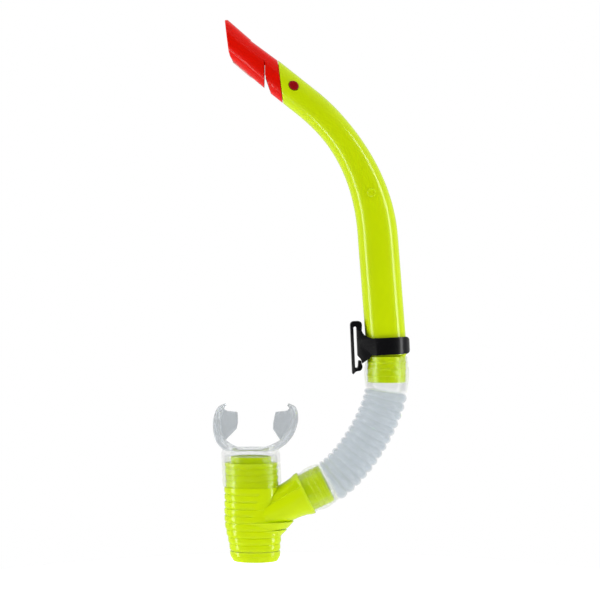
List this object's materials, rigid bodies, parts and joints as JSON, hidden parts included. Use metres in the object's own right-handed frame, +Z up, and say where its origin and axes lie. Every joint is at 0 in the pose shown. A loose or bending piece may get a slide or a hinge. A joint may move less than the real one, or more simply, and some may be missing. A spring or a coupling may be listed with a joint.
{
  "type": "snorkel tube",
  "caption": "Snorkel with a bent oval barrel, slanted splash guard, strap keeper, corrugated hose, soft mouthpiece and a ribbed chamber with a purge valve.",
  "frame": {"origin": "middle of the keeper's slot for the mask strap", "axes": "+Z up along the upright snorkel, towards the splash guard; +X from the mouthpiece chamber towards the barrel; +Y is the depth, and the part is mirror-symmetric about Y = 0"},
  "size_m": [0.1527, 0.038, 0.4183],
  "materials": {
    "barrel_lime": "glossy moulded plastic",
    "chamber_lime": "glossy moulded plastic",
    "guard_red": "glossy, slightly translucent",
    "button_red": "glossy dark red",
    "keeper_black": "satin black",
    "hose_clear": "clear soft silicone",
    "mouthpiece_clear": "clear soft silicone",
    "valve_soft": "soft translucent silicone"
  },
  "bodies": {
    "keeper": {"keeper_band": "keeper_black"},
    "latch_arm": {"keeper_latch_arm": "keeper_black"},
    "barrel": {"barrel_tube": "barrel_lime", "splash_guard": "guard_red"},
    "snap_front": {"snap_button_front": "button_red"},
    "snap_back": {"snap_button_back": "button_red"},
    "hose": {"hose_upper_cuff": "hose_clear", "corrugated_hose": "hose_clear"},
    "hose_end": {"hose_lower_cuff": "hose_clear"},
    "chamber": {"chamber_body": "chamber_lime", "mouthpiece": "mouthpiece_clear", "purge_valve_seat": "chamber_lime", "purge_cover": "chamber_lime"},
    "flap": {"purge_valve_flap": "valve_soft"}
  },
  "joints": [
    {"name": "keeper_latch", "type": "hinge", "parent": "keeper", "child": "latch_arm", "pos_m": [0.00465, 0, 0.01266], "axis": [0, 1, 0], "range_deg": [0, 12], "stiffness_Nm_per_rad": 1.2},
    {"name": "barrel_slide", "type": "slide", "parent": "keeper", "child": "barrel", "axis": [0.0767, 0, -0.9971], "range_m": [0, 0.066]},
    {"name": "snap_front_press", "type": "slide", "parent": "barrel", "child": "snap_front", "axis": [0, 1, 0], "range_m": [0, 0.0018], "stiffness_N_per_m": 1500},
    {"name": "snap_back_press", "type": "slide", "parent": "barrel", "child": "snap_back", "axis": [0, -1, 0], "range_m": [0, 0.0018], "stiffness_N_per_m": 1500},
    {"name": "upper_cuff_swivel", "type": "hinge", "parent": "barrel", "child": "hose", "pos_m": [0.024, 0, -0.017], "axis": [0, 0, 1], "continuous": true},
    {"name": "hose_flex", "type": "hinge", "parent": "hose", "child": "hose_end", "pos_m": [0.0058, 0, -0.0698], "axis": [0, 1, 0], "range_deg": [-60, 35], "stiffness_Nm_per_rad": 1, "deforming": ["corrugated_hose"]},
    {"name": "lower_cuff_swivel", "type": "hinge", "parent": "hose_end", "child": "chamber", "pos_m": [-0.03, 0, -0.1083], "axis": [0.8988, 0, 0.4384], "continuous": true},
    {"name": "purge_flap_lift", "type": "slide", "parent": "chamber", "child": "flap", "axis": [0, 0, -1], "range_m": [0, 0.002], "stiffness_N_per_m": 60}
  ]
}
